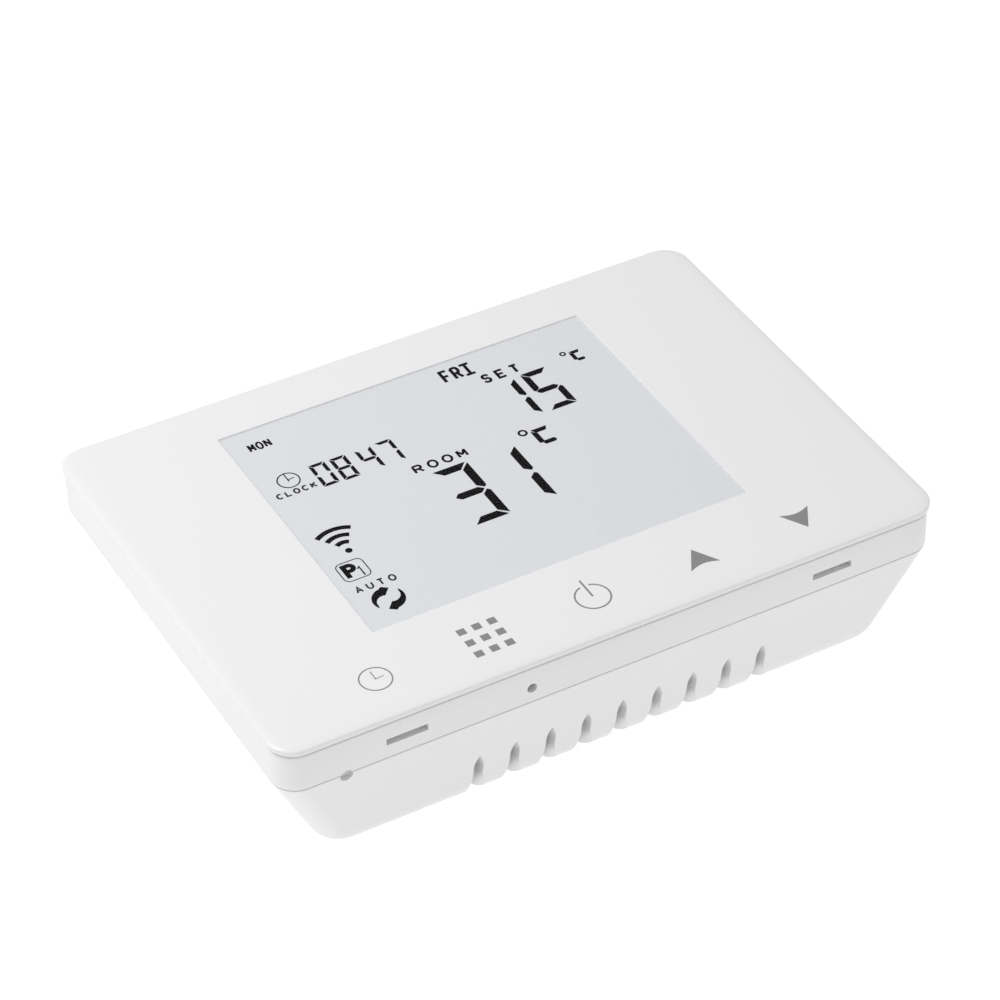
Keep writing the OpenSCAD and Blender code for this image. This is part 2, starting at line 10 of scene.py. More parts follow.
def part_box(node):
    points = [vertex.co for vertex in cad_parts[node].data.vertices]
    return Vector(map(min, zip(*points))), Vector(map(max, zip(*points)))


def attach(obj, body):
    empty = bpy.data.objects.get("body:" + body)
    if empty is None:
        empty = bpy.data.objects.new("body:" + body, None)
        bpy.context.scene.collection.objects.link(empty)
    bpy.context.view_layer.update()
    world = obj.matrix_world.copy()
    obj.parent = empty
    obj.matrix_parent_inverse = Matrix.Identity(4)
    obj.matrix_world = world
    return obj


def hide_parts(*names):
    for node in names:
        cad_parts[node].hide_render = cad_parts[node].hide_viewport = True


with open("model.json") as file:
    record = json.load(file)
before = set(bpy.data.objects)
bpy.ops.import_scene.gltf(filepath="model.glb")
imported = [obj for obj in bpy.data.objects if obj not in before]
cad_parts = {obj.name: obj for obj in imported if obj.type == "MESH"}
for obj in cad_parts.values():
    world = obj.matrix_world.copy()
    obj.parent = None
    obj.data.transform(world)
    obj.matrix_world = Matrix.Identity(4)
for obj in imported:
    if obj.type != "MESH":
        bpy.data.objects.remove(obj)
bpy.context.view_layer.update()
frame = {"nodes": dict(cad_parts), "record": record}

MM = 0.001
SLOTS = {part["node"]: part["material_slot"] for part in frame["record"]["subparts"]}

# ---------------------------------------------------------------- camera
CAMERA_PLACE = Vector((-250.3, -466.2, 463.3)) * MM
CAMERA_TARGET = Vector((-1.56, -5.61, 30.5)) * MM
CAMERA_ROLL = math.radians(-1.09)
CAMERA_LENS = 138.6
CAMERA_SENSOR = 36
CAMERA_NEAR = 0.01


def make_camera():
    """The view from the lower left of the face, about forty degrees above the wall plane."""
    camera = bpy.data.objects.new("camera", bpy.data.cameras.new("camera"))
    bpy.context.scene.collection.objects.link(camera)
    camera.data.lens = CAMERA_LENS
    camera.data.sensor_width = CAMERA_SENSOR
    camera.data.clip_start = CAMERA_NEAR
    back = (CAMERA_PLACE - CAMERA_TARGET).normalized()
    right = Vector((0, 0, 1)).cross(back).normalized()
    up = back.cross(right)
    frame_axes = Matrix((right, up, back)).transposed()
    turn = Matrix.Rotation(CAMERA_ROLL, 3, "Z")
    camera.matrix_world = Matrix.Translation(CAMERA_PLACE) @ (frame_axes @ turn).to_4x4()
    bpy.context.scene.camera = camera
    bpy.context.scene.view_settings.view_transform = "Standard"


# ---------------------------------------------------------------- shared sizes, in mm
def span(node):
    """The low and high corner of a node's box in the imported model."""
    low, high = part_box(node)
    return low / MM, high / MM


PANEL_LOW, PANEL_HIGH = span("touch_panel")
TUB_LOW, TUB_HIGH = span("rear_housing")
WINDOW_LOW, WINDOW_HIGH = span("display_window")
GLASS_LOW, GLASS_HIGH = span("lcd_glass")

FACE_Z = PANEL_HIGH.z
PANEL_W = PANEL_HIGH.x - PANEL_LOW.x
PANEL_H = PANEL_HIGH.y - PANEL_LOW.y
PANEL_BACK = PANEL_LOW.z
PANEL_R = 5.0
PANEL_EDGE = 3.0
PANEL_FALL = 0.55
WINDOW_W = WINDOW_HIGH.x - WINDOW_LOW.x
WINDOW_H = WINDOW_HIGH.y - WINDOW_LOW.y
WINDOW_Y = (WINDOW_HIGH.y + WINDOW_LOW.y) / 2
BODY_W = TUB_HIGH.x - TUB_LOW.x
BODY_H = TUB_HIGH.y - TUB_LOW.y
BODY_R = PANEL_R - (PANEL_W - BODY_W) / 2
RIM_Z = TUB_HIGH.z
SEAM_GAP = 0.12
FRONT_Z = RIM_Z + SEAM_GAP
SEAM_Z = (RIM_Z + FRONT_Z) / 2
LIP = 0.4
EDGE_SOFT = 0.2
HOUSING_R_LEAST = 0.5
CUT_PAST = 1.0
CUT_PAST_WALL = 0.5
PILOT_R = 1.0


# ---------------------------------------------------------------- mesh helpers
CORNER_STEPS = 14
SOFT_STEPS = 3
SHARP_ANGLE = math.radians(30)
BOX_FACES = ((0, 1, 3, 2), (4, 6, 7, 5), (0, 4, 5, 1), (2, 3, 7, 6), (0, 2, 6, 4), (1, 5, 7, 3))


def outline(w, h, r, z, x=0.0, y=0.0):
    """Points round a rectangle with round corners, anticlockwise, in mm."""
    points = []
    for corner, (sx, sy) in enumerate([(1, 1), (-1, 1), (-1, -1), (1, -1)]):
        for k in range(CORNER_STEPS + 1):
            angle = math.radians(90 * (corner + k / CORNER_STEPS))
            points.append(Vector((x + sx * (w / 2 - r) + r * math.cos(angle),
                                  y + sy * (h / 2 - r) + r * math.sin(angle), z)))
    return points


def quarter(steps=SOFT_STEPS):
    """Angles from 0 to 90 degrees in even steps, in radians."""
    return [math.radians(90 * k / steps) for k in range(steps + 1)]


def skin(bm, low, high):
    """The faces between two rings that have the same number of points."""
    for i in range(len(low)):
        j = (i + 1) % len(low)
        bm.faces.new((low[i], low[j], high[j], high[i]))


def sweep(loops, closed=False):
    """A surface through rings of points, its ends capped, or joined to each other when it is closed."""
    bm = bmesh.new()
    rings = [[bm.verts.new(p * MM) for p in loop] for loop in loops]
    pairs = list(zip(rings, rings[1:]))
    if closed:
        pairs.append((rings[-1], rings[0]))
    for low, high in pairs:
        skin(bm, low, high)
    if not closed:
        bm.faces.new(reversed(rings[0]))
        bm.faces.new(rings[-1])
    bmesh.ops.recalc_face_normals(bm, faces=bm.faces)
    return bm


def as_object(name, bm):
    """Puts a finished mesh into the scene."""
    mesh = bpy.data.meshes.new(name)
    bm.to_mesh(mesh)
    bm.free()
    obj = bpy.data.objects.new(name, mesh)
    bpy.context.scene.collection.objects.link(obj)
    return obj


def carve(obj, cutter, operation="DIFFERENCE"):
    """Cuts the cutter's shape out of obj, or joins it on, and removes the cutter."""
    modifier = obj.modifiers.new("carve", "BOOLEAN")
    modifier.object = cutter
    modifier.operation = operation
    modifier.solver = "EXACT"
    modifier.use_self = True
    bpy.context.view_layer.update()
    evaluated = obj.evaluated_get(bpy.context.evaluated_depsgraph_get())
    mesh = bpy.data.meshes.new_from_object(evaluated)
    obj.modifiers.clear()
    obj.data = mesh
    bpy.data.objects.remove(cutter)


def finish_piece(obj, material, body, replaces=()):
    """Shades a piece smoothly up to its sharp edges and puts it on its body."""
    obj.data.materials.clear()
    obj.data.materials.append(material)
    obj.data.polygons.foreach_set("material_index", [0] * len(obj.data.polygons))
    obj.data.shade_smooth()
    obj.data.set_sharp_from_angle(angle=SHARP_ANGLE)
    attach(obj, body)
    if replaces:
        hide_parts(*replaces)


def add_block(bm, corners):
    """A block from its eight corners, the four of one side first."""
    verts = [bm.verts.new(Vector(corner) * MM) for corner in corners]
    for face in BOX_FACES:
        bm.faces.new([verts[i] for i in face])


def add_box(bm, low, high):
    """A block along the axes between two opposite corners."""
    add_block(bm, [(x, y, z) for x in (low[0], high[0]) for y in (low[1], high[1])
                   for z in (low[2], high[2])])


def add_rod(bm, start, end, radius, steps=32):
    """A round rod between two points."""
    start, end = Vector(start), Vector(end)
    along = (end - start).normalized()
    side = along.orthogonal().normalized()
    other = along.cross(side)
    rings = []
    for centre in (start, end):
        rings.append([bm.verts.new((centre + radius * (math.cos(a) * side + math.sin(a) * other)) * MM)
                      for a in (2 * math.pi * k / steps for k in range(steps))])
    skin(bm, *rings)
    bm.faces.new(list(reversed(rings[0])))
    bm.faces.new(rings[1])


def solid(name, bm):
    """Turns a closed mesh's faces outwards and puts it into the scene."""
    bmesh.ops.recalc_face_normals(bm, faces=bm.faces)
    return as_object(name, bm)


# ---------------------------------------------------------------- thin printing and display segments
MITRE_LIMIT = 2.0


def add_plate(bm, points, z, thickness):
    """A flat outline made into a thin plate that stands on height z."""
    low = [bm.verts.new(Vector((p[0], p[1], z)) * MM) for p in points]
    high = [bm.verts.new(Vector((p[0], p[1], z + thickness)) * MM) for p in points]
    bm.faces.new(list(reversed(low)))
    bm.faces.new(high)
    skin(bm, low, high)


def add_line(bm, points, width, z, thickness, closed=False):
    """A line of even width through flat points, mitred at its bends up to MITRE_LIMIT."""
    flat = [Vector((p[0], p[1])) for p in points]
    count = len(flat)
    sides = ([], [])
    for i, p in enumerate(flat):
        before = flat[i - 1] if (i or closed) else None
        after = flat[(i + 1) % count] if (i < count - 1 or closed) else None
        directions = [(p - before).normalized()] if before is not None else []
        directions += [(after - p).normalized()] if after is not None else []
        mean = sum(directions, Vector((0, 0))).normalized()
        normal = Vector((-mean.y, mean.x))
        reach = width / 2 / max(1 / MITRE_LIMIT, abs(mean.dot(directions[0])))
        for side, sign in zip(sides, (1, -1)):
            side.append(p + sign * reach * normal)
    steps = count if closed else count - 1
    verts = [[[bm.verts.new(Vector((q.x, q.y, height)) * MM) for q in side] for side in sides]
             for height in (z, z + thickness)]
    (low_l, low_r), (high_l, high_r) = verts
    for i in range(steps):
        j = (i + 1) % count
        bm.faces.new((high_l[i], high_r[i], high_r[j], high_l[j]))
        bm.faces.new((low_l[j], low_r[j], low_r[i], low_l[i]))
        bm.faces.new((low_l[i], high_l[i], high_l[j], low_l[j]))
        bm.faces.new((low_r[j], high_r[j], high_r[i], low_r[i]))
    if not closed:
        for i in (0, count - 1):
            bm.faces.new((low_l[i], low_r[i], high_r[i], high_l[i]))


def arc(x, y, r, start, end, steps=24, squash=1.0):
    """Points on an arc, with angles in degrees anticlockwise from +X."""
    return [(x + r * math.cos(math.radians(start + (end - start) * k / steps)),
             y + squash * r * math.sin(math.radians(start + (end - start) * k / steps)))
            for k in range(steps + 1)]


def ring(x, y, r, steps=48):
    """Points all round a circle."""
    return arc(x, y, r, 0, 360, steps)[:-1]


SEGMENTS = {"0": "abcdef", "1": "bc", "3": "abgcd", "4": "fgbc", "5": "afgcd", "7": "abc", "8": "abcdefg"}


def segment_shapes(w, h, t, gap):
    """The seven mitred segments of a digit of width w and height h, from its lower left corner."""
    m = h / 2
    upper = [(w, h - gap), (w - t, h - t - 0.6 * gap), (w - t, m + 0.62 * t + gap),
             (w - 0.3 * t, m + gap), (w, m + 0.3 * t + gap)]
    lower = [(x, h - y) for x, y in upper]
    top = [(0.4 * gap, h), (w - gap, h), (w - t - 0.8 * gap, h - t), (t + 0.2 * gap, h - t)]
    middle = [(0.25 * t, m), (0.75 * t, m + t / 2), (w - t, m + t / 2), (w - 0.45 * t, m),
              (w - t, m - t / 2), (0.75 * t, m - t / 2)]
    return {"a": top, "b": upper, "c": lower, "d": [(x, h - y) for x, y in top],
            "e": [(w - x, y) for x, y in lower], "f": [(w - x, y) for x, y in upper], "g": middle}


def add_digit(bm, digit, x, y, w, h, t, gap, z, thickness):
    """A seven-segment digit whose lower left corner is at x, y."""
    shapes = segment_shapes(w, h, t, gap)
    for letter in SEGMENTS[digit]:
        add_plate(bm, [(x + px, y + py) for px, py in shapes[letter]], z, thickness)


def add_degree_c(bm, x, y, w, h, t, dot, z, thickness):
    """A small ring and a three-segment C whose lower left corner is at x, y."""
    gap = 0.15 * t
    stroke = 0.36 * t + 0.05
    add_line(bm, ring(x - 1.1 * dot - 0.55, y + h + 0.1 * dot, dot, 24), stroke, z, thickness, closed=True)
    top = [(gap, h), (w, h), (w - 0.5 * t, h - t), (0.8 * t, h - t)]
    side = [(0, h - 2 * gap), (t, h - t - gap), (t, t), (0.5 * t, 0.6 * t), (0, 0.8 * t)]
    foot = [(0.9 * t, t), (w - 0.4 * t, t), (w - 0.1 * t, 0.5 * t),
            (w - 0.4 * t, 0), (0.9 * t, 0), (0.6 * t, 0.5 * t)]
    for shape in (top, side, foot):
        add_plate(bm, [(x + px, y + py) for px, py in shape], z, thickness)


def add_clock(bm, x, y, r, stroke, hands, z, thickness):
    """A round clock face; each hand is its start, its end and its stroke, from the middle."""
    add_line(bm, ring(x, y, r), stroke, z, thickness, closed=True)
    for start, end, width in hands:
        add_line(bm, [(x + start[0], y + start[1]), (x + end[0], y + end[1])], width, z, thickness)


def letter_strokes(letter):
    """The strokes of a capital letter in a box 1 wide and 1 high."""
    left, right, low, high, mid = 0.08, 0.92, 0.0, 1.0, 0.5
    bowl = [(left, high), (0.6, high)] + arc(0.62, 0.74, 0.26, 90, -90, 10) + [(left, 0.48)]
    return {
        "A": [[(left, low), (mid, high), (right, low)], [(0.24, 0.34), (0.76, 0.34)]],
        "C": [[(mid + 0.44 * math.cos(math.radians(a)), mid + 0.5 * math.sin(math.radians(a)))
               for a in range(42, 319, 12)]],
        "E": [[(right, high), (left, high), (left, low), (right, low)], [(left, mid), (0.8, mid)]],
        "F": [[(right, high), (left, high), (left, low)], [(left, mid), (0.8, mid)]],
        "I": [[(mid, low), (mid, high)], [(-0.1, high), (1.1, high)], [(-0.1, low), (1.1, low)]],
        "K": [[(left, low), (left, high)], [(right, high), (left, 0.42)], [(0.36, 0.6), (right, low)]],
        "L": [[(left, high), (left, low), (right, low)]],
        "M": [[(left, low), (left, high)], [(left, high), (mid, 0.3)],
              [(mid, 0.3), (right, high)], [(right, high), (right, low)]],
        "N": [[(left, low), (left, high)], [(left, high), (right, low)], [(right, low), (right, high)]],
        "R": [[(left, low), (left, high)], bowl, [(0.5, 0.48), (right, low)]],
        "S": [[(0.88, 0.8)] + arc(mid, 0.745, 0.34, 30, 250, 12, 0.75)
              + arc(mid, 0.255, 0.36, 70, -150, 12, 0.75) + [(0.1, 0.2)]],
        "T": [[(left, high), (right, high)], [(mid, high), (mid, low)]],
        "U": [[(left, high), (left, 0.38)] + arc(mid, 0.42, 0.42, 190, 350, 12)
              + [(right, 0.38), (right, high)]],
        "O": [[(mid + 0.46 * math.cos(math.radians(a)), mid + 0.5 * math.sin(math.radians(a)))
               for a in range(0, 360, 15)]],
    }[letter]


def add_word(bm, word, x0, x1, y0, y1, letter_share, width, z, thickness):
    """Capital letters spread evenly from x0 to x1; letter_share is each letter's share of its pitch."""
    letter_w = (x1 - x0) / (len(word) - 1 + letter_share) * letter_share
    pitch = letter_w / letter_share
    half = width / 2
    for i, letter in enumerate(word):
        for stroke in letter_strokes(letter):
            points = [(x0 + i * pitch + half + (letter_w - width) * px, y0 + half + (y1 - y0 - width) * py)
                      for px, py in stroke]
            add_line(bm, points, width, z, thickness, closed=letter == "O")


# ---------------------------------------------------------------- materials
# Painted shade: below this height the panel's falling edge fades to a darker grey.
EDGE_SHADE_Z = FACE_Z - 0.3
TRACK_CELLS_PER_MM = 0.22
TRACK_BAND = 0.11
PADS_PER_MM = 0.3
PAD_TIN = (0.70, 0.70, 0.66)
WINDOW_TINT = ((0.52, 0.53, 0.55), (0.56, 0.57, 0.59))
WINDOW_DENSITY = 0.012
STREAK_STRETCH = (0.06, 1, 1)
TAPE_TURNS_PER_MM = 0.12


def new_material(name):
    """A material with its node tree and its shader."""
    material = bpy.data.materials.new(name)
    material.use_nodes = True
    tree = material.node_tree
    shader = next(n for n in tree.nodes if n.type == "BSDF_PRINCIPLED")
    return material, tree, shader


def object_coordinates(tree):
    """The piece's own coordinates, for its patterns."""
    return tree.nodes.new("ShaderNodeTexCoord").outputs["Object"]


def add_noise(tree, coordinates, per_mm, detail):
    """Soft noise with so many features a millimetre."""
    noise = tree.nodes.new("ShaderNodeTexNoise")
    noise.inputs["Scale"].default_value = per_mm / MM
    noise.inputs["Detail"].default_value = detail
    tree.links.new(coordinates, noise.inputs["Vector"])
    return noise.outputs["Fac"]


def add_range(tree, value, low, high, from_low=0.3, from_high=0.7):
    """Spreads a value's range from_low to from_high over low to high."""
    node = tree.nodes.new("ShaderNodeMapRange")
    limits = {"From Min": from_low, "From Max": from_high, "To Min": low, "To Max": high}
    for socket, number in limits.items():
        node.inputs[socket].default_value = number
    tree.links.new(value, node.inputs["Value"])
    return node.outputs["Result"]


def add_mix(tree, factor, first, second):
    """Mixes two colours by a factor socket. Each colour is a tuple or a socket."""
    node = tree.nodes.new("ShaderNodeMix")
    node.data_type = "RGBA"
    tree.links.new(factor, node.inputs["Factor"])
    for colour, socket in ((first, node.inputs[6]), (second, node.inputs[7])):
        if isinstance(colour, tuple):
            socket.default_value = (*colour, 1)
        else:
            tree.links.new(colour, socket)
    return node.outputs[2]


def add_bump(tree, shader, height, depth_mm, strength):
    """Relief of a depth in mm from a height value."""
    bump = tree.nodes.new("ShaderNodeBump")
    bump.inputs["Strength"].default_value = strength
    bump.inputs["Distance"].default_value = depth_mm * MM
    tree.links.new(height, bump.inputs["Height"])
    tree.links.new(bump.outputs["Normal"], shader.inputs["Normal"])


def moulded(name, colour, roughness, grain_per_mm=2.5, grain_depth=0.01, variation=0.015,
            coat=0.0, patch_per_mm=0.05, specular=0.5, edge=None):
    """A moulded or coated surface: slow tone changes, fine grain in its gloss and its relief.

    edge, when given, is painted shade: the darker colour that the panel's falling edge takes below
    EDGE_SHADE_Z.
    """
    material, tree, shader = new_material(name)
    coordinates = object_coordinates(tree)
    patches = add_noise(tree, coordinates, patch_per_mm, 3)
    grain = add_noise(tree, coordinates, grain_per_mm, 3)
    dark = tuple(c * (1 - variation) for c in colour)
    light = tuple(min(1, c * (1 + variation)) for c in colour)
    toned = add_mix(tree, patches, dark, light)
    if edge is not None:
        height = tree.nodes.new("ShaderNodeSeparateXYZ")
        tree.links.new(coordinates, height.inputs[0])
        drop = add_range(tree, height.outputs["Z"], 1, 0, (FACE_Z - PANEL_FALL) * MM, EDGE_SHADE_Z * MM)
        toned = add_mix(tree, drop, toned, edge)
    tree.links.new(toned, shader.inputs["Base Color"])
    tree.links.new(add_range(tree, grain, roughness * 0.9, roughness * 1.1), shader.inputs["Roughness"])
    shader.inputs["Coat Weight"].default_value = coat
    shader.inputs["Specular IOR Level"].default_value = specular
    add_bump(tree, shader, grain, grain_depth, 0.35)
    return material


def circuit_board(name, mask, track):
    """Solder resist over copper: tracks from a cell pattern, pads as dots, under a glossy coat."""
    material, tree, shader = new_material(name)
    coordinates = object_coordinates(tree)
    cells = tree.nodes.new("ShaderNodeTexVoronoi")
    cells.distance = "CHEBYCHEV"
    cells.feature = "F1"
    cells.inputs["Scale"].default_value = TRACK_CELLS_PER_MM / MM
    cells.inputs["Randomness"].default_value = 0.6
    tree.links.new(coordinates, cells.inputs["Vector"])
    lines = tree.nodes.new("ShaderNodeMath")
    lines.operation = "PINGPONG"
    lines.inputs[1].default_value = TRACK_BAND
    tree.links.new(cells.outputs["Distance"], lines.inputs[0])
    track_mask = add_range(tree, lines.outputs[0], 0, 1, 0.05, 0.065)
    toned = add_mix(tree, track_mask, mask, track)
    dots = tree.nodes.new("ShaderNodeTexVoronoi")
    dots.inputs["Scale"].default_value = PADS_PER_MM / MM
    dots.inputs["Randomness"].default_value = 0.8
    tree.links.new(coordinates, dots.inputs["Vector"])
    pads = add_range(tree, dots.outputs["Distance"], 1, 0, 0.12, 0.14)
    tree.links.new(add_mix(tree, pads, toned, PAD_TIN), shader.inputs["Base Color"])
    grain = add_noise(tree, coordinates, 3, 2)
    tree.links.new(add_range(tree, grain, 0.24, 0.34), shader.inputs["Roughness"])
    shader.inputs["Coat Weight"].default_value = 0.3
    add_bump(tree, shader, track_mask, 0.03, 0.4)
    return material


def clear_window(name):
    """A clear moulded sheet that tints what is behind it a little and carries a clean reflection."""
    material, tree, shader = new_material(name)
    coordinates = object_coordinates(tree)
    haze = add_noise(tree, coordinates, 0.08, 2)
    tree.links.new(add_mix(tree, haze, *WINDOW_TINT), shader.inputs["Base Color"])
    grain = add_noise(tree, coordinates, 1.5, 2)
    tree.links.new(add_range(tree, grain, 0.10, 0.14), shader.inputs["Roughness"])
    shader.inputs["Alpha"].default_value = WINDOW_DENSITY
    shader.inputs["IOR"].default_value = 1.45
    add_bump(tree, shader, grain, 0.002, 0.1)
    return material


def brushed(name, colour, roughness, streak_per_mm=3.0):
    """Metal with fine streaks along X."""
    material, tree, shader = new_material(name)
    coordinates = object_coordinates(tree)
    stretch = tree.nodes.new("ShaderNodeMapping")
    stretch.inputs["Scale"].default_value = STREAK_STRETCH
    tree.links.new(coordinates, stretch.inputs["Vector"])
    streaks = add_noise(tree, stretch.outputs["Vector"], streak_per_mm, 4)
    dark = tuple(c * 0.88 for c in colour)
    tree.links.new(add_mix(tree, streaks, dark, colour), shader.inputs["Base Color"])
    tree.links.new(add_range(tree, streaks, roughness * 0.75, roughness * 1.25), shader.inputs["Roughness"])
    shader.inputs["Metallic"].default_value = 1.0
    add_bump(tree, shader, streaks, 0.01, 0.25)
    return material


def wound_tape(name, colour):
    """Glossy insulating tape in overlapping turns."""
    material, tree, shader = new_material(name)
    coordinates = object_coordinates(tree)
    waves = tree.nodes.new("ShaderNodeTexWave")
    waves.bands_direction = "Z"
    waves.inputs["Scale"].default_value = TAPE_TURNS_PER_MM / MM
    waves.inputs["Distortion"].default_value = 0.6
    tree.links.new(coordinates, waves.inputs["Vector"])
    edges = add_range(tree, waves.outputs["Fac"], 0, 1, 0.0, 0.25)
    dark = tuple(c * 0.72 for c in colour)
    tree.links.new(add_mix(tree, edges, dark, colour), shader.inputs["Base Color"])
    shader.inputs["Roughness"].default_value = 0.22
    add_bump(tree, shader, edges, 0.05, 0.5)
    return material


PANEL_WHITE = (0.94, 0.942, 0.945)
# Painted shade for the panel's falling edge, darker than the face.
PANEL_EDGE_SHADE = (0.80, 0.801, 0.802)
HOUSING_WHITE = (0.82, 0.82, 0.818)
MATERIALS = {
    "panel": moulded("panel_gloss", PANEL_WHITE, 0.22, 1.2, 0.004, 0.006, coat=0.25, patch_per_mm=0.02,
                     edge=PANEL_EDGE_SHADE),
    "window_clear": clear_window("window_clear"),
    "housing": moulded("housing_satin", HOUSING_WHITE, 0.42, 6.0, 0.02, 0.01, patch_per_mm=0.03),
    "lcd_glass": moulded("lcd_field", (0.815, 0.825, 0.857), 0.35, 4.0, 0.003, 0.006, patch_per_mm=0.03),
    "lcd_film": moulded("lcd_rear_film", (0.60, 0.61, 0.64), 0.4, 3.0, 0.005),
    "light_guide": moulded("light_guide_milky", (0.88, 0.89, 0.90), 0.3, 0.8, 0.02, coat=0.2),
    "led": moulded("led_phosphor", (0.90, 0.84, 0.45), 0.35, 5.0, 0.02, 0.05),
    "frame_plastic": moulded("frame_natural", (0.82, 0.82, 0.78), 0.45, 5.0, 0.02, 0.02),
    "tin": brushed("tinned", (0.78, 0.79, 0.80), 0.28),
    "circuit_board": circuit_board("board_green", (0.01, 0.12, 0.045), (0.02, 0.21, 0.08)),
    "radio_board": circuit_board("board_blue", (0.008, 0.02, 0.08), (0.015, 0.05, 0.17)),
    "screw_steel": brushed("zinc_plated", (0.66, 0.67, 0.66), 0.33, 5.0),
    "spring_steel": brushed("spring_wire", (0.74, 0.74, 0.72), 0.22, 6.0),
    "chip_black": moulded("epoxy_black", (0.022, 0.022, 0.025), 0.55, 9.0, 0.03, 0.12),
    "black_plastic": moulded("moulded_black", (0.025, 0.025, 0.026), 0.4, 7.0, 0.02, 0.1),
    "cell_steel": brushed("cell_steel", (0.80, 0.80, 0.79), 0.25, 2.0),
    # Painted shade: this slot's dark grey makes the reset plunger's small hole read dark.
    "button_grey": moulded("button_grey", (0.06, 0.06, 0.06), 0.4, 5.0, 0.01, 0.06),
    "contact_gold": brushed("gold_flash", (0.90, 0.66, 0.26), 0.25, 4.0),
    "relay_blue": moulded("relay_case", (0.025, 0.10, 0.42), 0.3, 4.0, 0.01, 0.05, coat=0.3),
    "core_steel": moulded("ferrite", (0.045, 0.045, 0.05), 0.6, 6.0, 0.04, 0.2),
    "winding_tape": wound_tape("winding_tape", (0.75, 0.48, 0.03)),
    "capacitor_sleeve": moulded("shrink_sleeve", (0.02, 0.02, 0.045), 0.32, 2.0, 0.02, 0.1, coat=0.3),
    "fuse_brown": moulded("fuse_case", (0.11, 0.04, 0.02), 0.45, 6.0, 0.02, 0.08),
    "varistor_blue": moulded("varistor_dip", (0.02, 0.07, 0.28), 0.5, 2.5, 0.08, 0.08),
    "terminal_green": moulded("terminal_body", (0.03, 0.22, 0.09), 0.42, 6.0, 0.02, 0.05),
    "contact_brass": brushed("tinned_brass", (0.82, 0.64, 0.34), 0.3, 4.0),
    "terminal_screw_steel": brushed("screw_zinc", (0.70, 0.70, 0.68), 0.3, 6.0),
    "print_grey": moulded("print_grey", (0.28, 0.28, 0.28), 0.45, 8.0, 0.002, 0.04, specular=0.3),
    "segment_black": moulded("segment_black", (0.001, 0.001, 0.0014), 0.7, 6.0, 0.001, 0.2, specular=0.02),
    "icon_grey": moulded("icon_grey", (0.035, 0.035, 0.04), 0.7, 6.0, 0.001, 0.1, specular=0.02),
}


# ---------------------------------------------------------------- touch panel
PANEL_EDGE_STEPS = 12
OPENING_R = 0.25
OPENING_SOFT = 0.05
OPENING_BORDER = 0.5
OPENING_BORDER_R = 0.6
POCKET_ROOM_X = 0.2
POCKET_ROOM_Y = 0.7
POCKET_SHIFT = 0.5
POCKET_R = 0.4
UNDER_SOFT = 0.12
UNDER_BORDER = 0.7
SHEET_ROOM = 0.01
SHEET_LIFT = 0.04
SHEET_SOFT = 0.08
SHEET_R = 0.3
SHEET_INNER_R = 0.5


def panel_ring(z, inset):
    """The panel's outline drawn in by an inset."""
    return outline(PANEL_W - 2 * inset, PANEL_H - 2 * inset, PANEL_R - inset, z)


def make_panel():
    """The face plate: a rounded front edge, a window opening and a pocket behind for the display."""
    pocket_w = GLASS_HIGH.x - GLASS_LOW.x + 2 * POCKET_ROOM_X
    pocket_h = GLASS_HIGH.y - GLASS_LOW.y + 2 * POCKET_ROOM_Y
    pocket_top = GLASS_HIGH.z
    pocket_y = WINDOW_Y + POCKET_SHIFT
    rim = FACE_Z - OPENING_SOFT
    loops = [outline(WINDOW_W, WINDOW_H, OPENING_R, z, y=WINDOW_Y) for z in (pocket_top, rim)]
    for a in quarter()[1:]:
        grow = OPENING_SOFT * (1 - math.cos(a))
        loops.append(outline(WINDOW_W + 2 * grow, WINDOW_H + 2 * grow, OPENING_R + grow,
                             rim + OPENING_SOFT * math.sin(a), y=WINDOW_Y))
    loops.append(outline(WINDOW_W + 2 * OPENING_BORDER, WINDOW_H + 2 * OPENING_BORDER, OPENING_BORDER_R,
                         FACE_Z, y=WINDOW_Y))
    loops.append(panel_ring(FACE_Z, PANEL_EDGE + LIP))
    for a in quarter(PANEL_EDGE_STEPS):
        loops.append(panel_ring(FACE_Z - PANEL_FALL * (1 - math.cos(a)), PANEL_EDGE * (1 - math.sin(a))))
    for a in quarter():
        loops.append(panel_ring(PANEL_BACK + UNDER_SOFT * (1 - math.sin(a)), UNDER_SOFT * (1 - math.cos(a))))
    loops.append(panel_ring(PANEL_BACK, UNDER_BORDER))
    loops += [outline(pocket_w, pocket_h, POCKET_R, z, y=pocket_y) for z in (PANEL_BACK, pocket_top)]
    panel = as_object("panel_plate", sweep(loops, closed=True))
    finish_piece(panel, MATERIALS["panel"], "front_unit", ["touch_panel"])


def make_window():
    """The clear sheet in the opening, with softened edges, a little above the display's segments."""
    w, h = WINDOW_W - 2 * SHEET_ROOM, WINDOW_H - 2 * SHEET_ROOM
    low, high, soft = WINDOW_LOW.z + SHEET_LIFT, WINDOW_HIGH.z, SHEET_SOFT
    levels = [(low, soft), (low + soft, 0), (high - soft, 0), (high - 0.3 * soft, 0.3 * soft), (high, soft)]
    loops = [outline(w - 2 * inset, h - 2 * inset, SHEET_R, z, y=WINDOW_Y) for z, inset in levels]
    border = soft + LIP
    loops.append(outline(w - 2 * border, h - 2 * border, SHEET_INNER_R, high, y=WINDOW_Y))
    window = as_object("window_sheet", sweep(loops))
    finish_piece(window, MATERIALS["window_clear"], "front_unit", ["display_window"])


